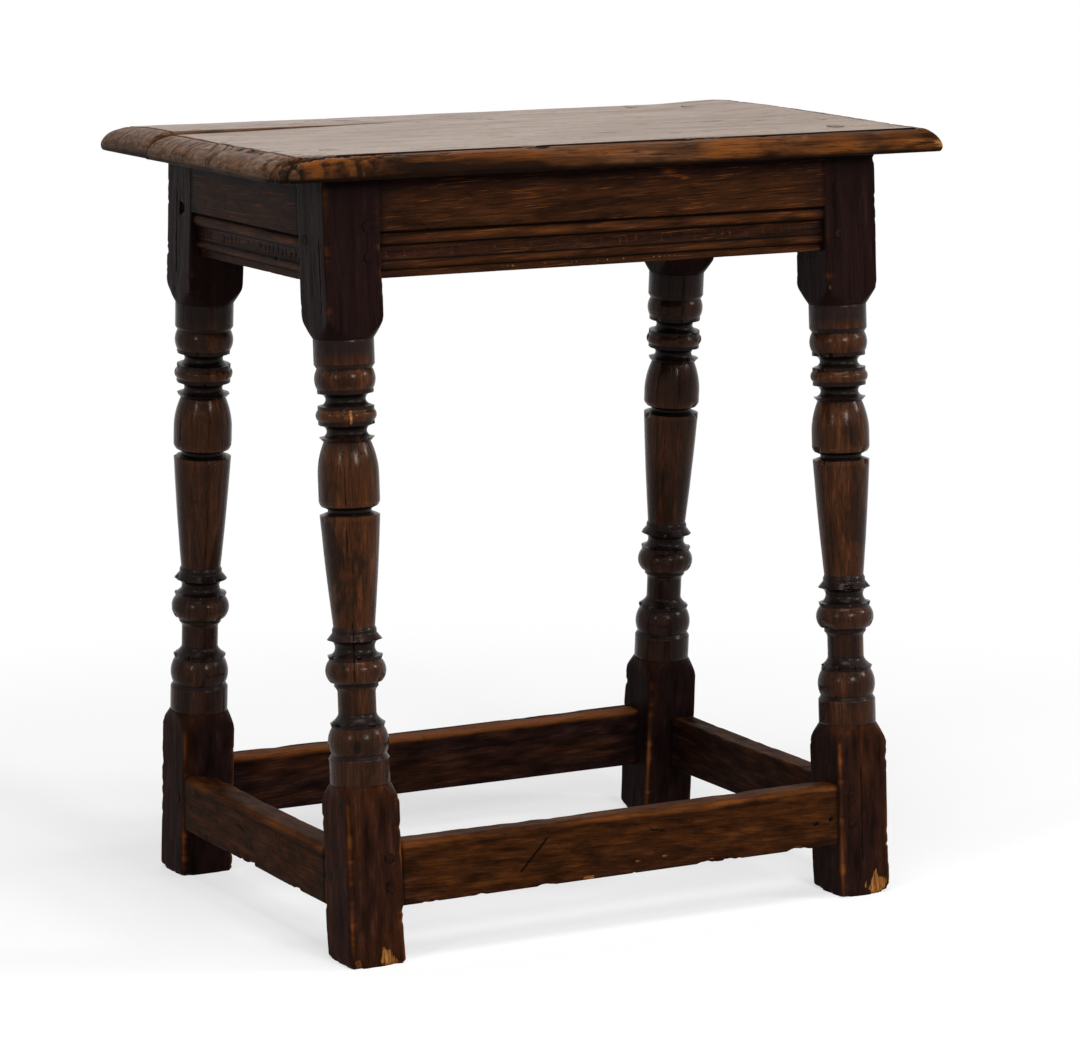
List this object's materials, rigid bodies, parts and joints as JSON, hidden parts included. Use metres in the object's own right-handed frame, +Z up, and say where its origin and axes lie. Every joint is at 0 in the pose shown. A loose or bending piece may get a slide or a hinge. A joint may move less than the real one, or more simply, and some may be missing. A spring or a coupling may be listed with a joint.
{
  "type": "joint stool",
  "caption": "Oak joint stool: turned legs with square blocks, moulded rails and low stretchers in a pegged mortise-and-tenon frame under a moulded board seat.",
  "frame": {"origin": "on the floor under the middle of the seat", "axes": "+Z up, +X to the right along the length of the seat, -Y towards the front"},
  "size_m": [0.534, 0.3312, 0.5615],
  "materials": {
    "seat_oak": "aged oak, worn and waxed, grey-brown on top and golden at the moulding",
    "frame_oak": "dark aged oak with wax polish",
    "peg_oak": "cleft oak pegs, darkened"
  },
  "bodies": {
    "root": {"seat_board": "seat_oak", "seat_pegs": "peg_oak", "leg_front_left": "frame_oak", "leg_front_right": "frame_oak", "leg_back_left": "frame_oak", "leg_back_right": "frame_oak", "rail_front": "frame_oak", "rail_back": "frame_oak", "rail_left": "frame_oak", "rail_right": "frame_oak", "stretcher_front": "frame_oak", "stretcher_back": "frame_oak", "stretcher_left": "frame_oak", "stretcher_right": "frame_oak", "pegs_rail_front": "peg_oak", "pegs_rail_back": "peg_oak", "pegs_rail_left": "peg_oak", "pegs_rail_right": "peg_oak", "pegs_stretcher_front": "peg_oak", "pegs_stretcher_back": "peg_oak", "pegs_stretcher_left": "peg_oak", "pegs_stretcher_right": "peg_oak"}
  },
  "joints": []
}
